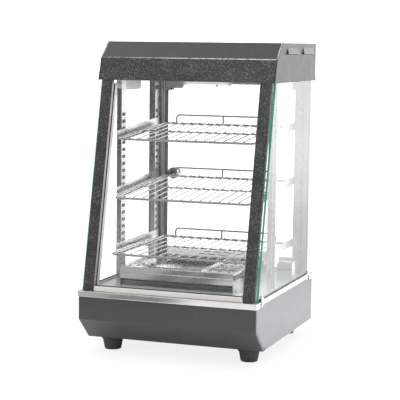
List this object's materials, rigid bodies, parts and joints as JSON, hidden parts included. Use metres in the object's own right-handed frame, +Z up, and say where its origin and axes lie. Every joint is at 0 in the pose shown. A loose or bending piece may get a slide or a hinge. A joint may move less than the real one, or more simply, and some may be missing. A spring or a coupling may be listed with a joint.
{
  "type": "hot food display case",
  "caption": "Countertop heated food display case with a leaning glass front, glass sides, tilted wire shelves, a heater box and a hinged rear glass door.",
  "frame": {"origin": "on the surface the case stands on, under the middle of its bounding box", "axes": "+Z up, -Y towards the customer (the leaning front), +X to the right as the customer sees it"},
  "size_m": [0.472, 0.517, 0.772],
  "materials": {
    "dark_enamel": "fine texture, semi-matt",
    "vein_enamel": "black with silver vein flecks, semi-gloss",
    "grey_enamel": "satin",
    "galvanised": "dull spangled zinc",
    "foot_rubber": "matt",
    "screw_steel": "bright plated",
    "polished_steel": "polished",
    "bright_steel": "bright, fine grain",
    "ivory_steel": "satin, warm white",
    "satin_steel": "satin",
    "shelf_steel": "bright, fine grain",
    "wire_chrome": "bright plated wire",
    "pan_steel": "bright, drawn",
    "element_steel": "heat-darkened",
    "seal_rubber": "satin",
    "clear_glass": "clear, green edge",
    "lamp_glass": "frosted tube",
    "white_enamel": "gloss white",
    "knob_chrome": "polished",
    "knob_plastic": "satin black",
    "switch_plastic": "satin black",
    "switch_plastic_pale": "pale, moulded",
    "rocker_red": "translucent red",
    "rocker_green": "translucent green",
    "lens_amber": "translucent amber",
    "edge_plastic": "satin grey",
    "gland_plastic": "moulded black"
  },
  "bodies": {
    "cabinet": {"base_front_panel": "dark_enamel", "base_side_left": "grey_enamel", "base_side_right": "grey_enamel", "base_rear_panel": "dark_enamel", "base_bottom_plate": "galvanised", "feet": "foot_rubber", "screws": "screw_steel", "front_trim": "polished_steel", "rear_trim": "polished_steel", "side_trim_left": "polished_steel", "side_trim_right": "polished_steel", "floor_pan": "bright_steel", "front_rail": "ivory_steel", "front_glass_seal": "seal_rubber", "front_glass": "clear_glass", "front_post_left": "vein_enamel", "front_post_right": "vein_enamel", "side_glass_left": "clear_glass", "side_glass_right": "clear_glass", "side_glass_seals": "seal_rubber", "rear_post_left": "satin_steel", "rear_post_right": "satin_steel", "hood_front": "vein_enamel", "hood_cheek_left": "grey_enamel", "hood_cheek_right": "grey_enamel", "hood_top": "dark_enamel", "hood_rear": "dark_enamel", "ceiling_panel": "bright_steel", "uprights": "shelf_steel", "upright_brackets": "ivory_steel", "upper_shelf_supports": "shelf_steel", "middle_shelf_supports": "shelf_steel", "lower_shelf_supports": "shelf_steel", "heater_housing": "galvanised", "heater_lid": "bright_steel", "heating_element": "element_steel", "sensor_cover": "satin_steel", "lamp_holder": "white_enamel", "lamp_tube": "lamp_glass", "hinge_brackets": "satin_steel", "magnet_catch": "satin_steel", "catch_magnet": "foot_rubber", "rear_rails": "satin_steel", "thermostat": "switch_plastic_pale", "switch_bodies": "switch_plastic", "indicator_lamp": "lens_amber", "cable_gland": "gland_plastic", "terminal_block": "switch_plastic_pale"},
    "rear_door": {"door_glass": "clear_glass", "door_edge_strip": "edge_plastic", "door_clamps": "satin_steel", "door_knob": "knob_chrome", "strike_plate": "galvanised"},
    "upper_shelf_tray": {"upper_shelf": "wire_chrome"},
    "middle_shelf_tray": {"middle_shelf": "wire_chrome"},
    "lower_shelf_tray": {"lower_shelf": "wire_chrome"},
    "pan": {"water_pan": "pan_steel"},
    "heat_knob": {"thermostat_knob": "knob_plastic"},
    "power_button": {"power_rocker": "rocker_red"},
    "light_button": {"light_rocker": "rocker_green"}
  },
  "joints": [
    {"name": "rear_door_hinge", "type": "hinge", "parent": "cabinet", "child": "rear_door", "pos_m": [0.178, 0.2115, 0.4], "axis": [0, 0, -1], "range_deg": [0, 110]},
    {"name": "upper_shelf_lift", "type": "slide", "parent": "cabinet", "child": "upper_shelf_tray", "axis": [0, 0, 1], "range_m": [0, 0.015]},
    {"name": "middle_shelf_lift", "type": "slide", "parent": "cabinet", "child": "middle_shelf_tray", "axis": [0, 0, 1], "range_m": [0, 0.015]},
    {"name": "lower_shelf_lift", "type": "slide", "parent": "cabinet", "child": "lower_shelf_tray", "axis": [0, 0, 1], "range_m": [0, 0.015]},
    {"name": "pan_lift", "type": "slide", "parent": "cabinet", "child": "pan", "axis": [0, 0, 1], "range_m": [0, 0.015]},
    {"name": "heat_knob_turn", "type": "hinge", "parent": "cabinet", "child": "heat_knob", "pos_m": [-0.13, 0.2375, 0.097], "axis": [0, -1, 0], "range_deg": [0, 270]},
    {"name": "power_rocker_tilt", "type": "hinge", "parent": "cabinet", "child": "power_button", "pos_m": [-0.04, 0.2355, 0.097], "axis": [1, 0, 0], "range_deg": [0, 16]},
    {"name": "light_rocker_tilt", "type": "hinge", "parent": "cabinet", "child": "light_button", "pos_m": [0.005, 0.2355, 0.097], "axis": [1, 0, 0], "range_deg": [0, 16]}
  ]
}
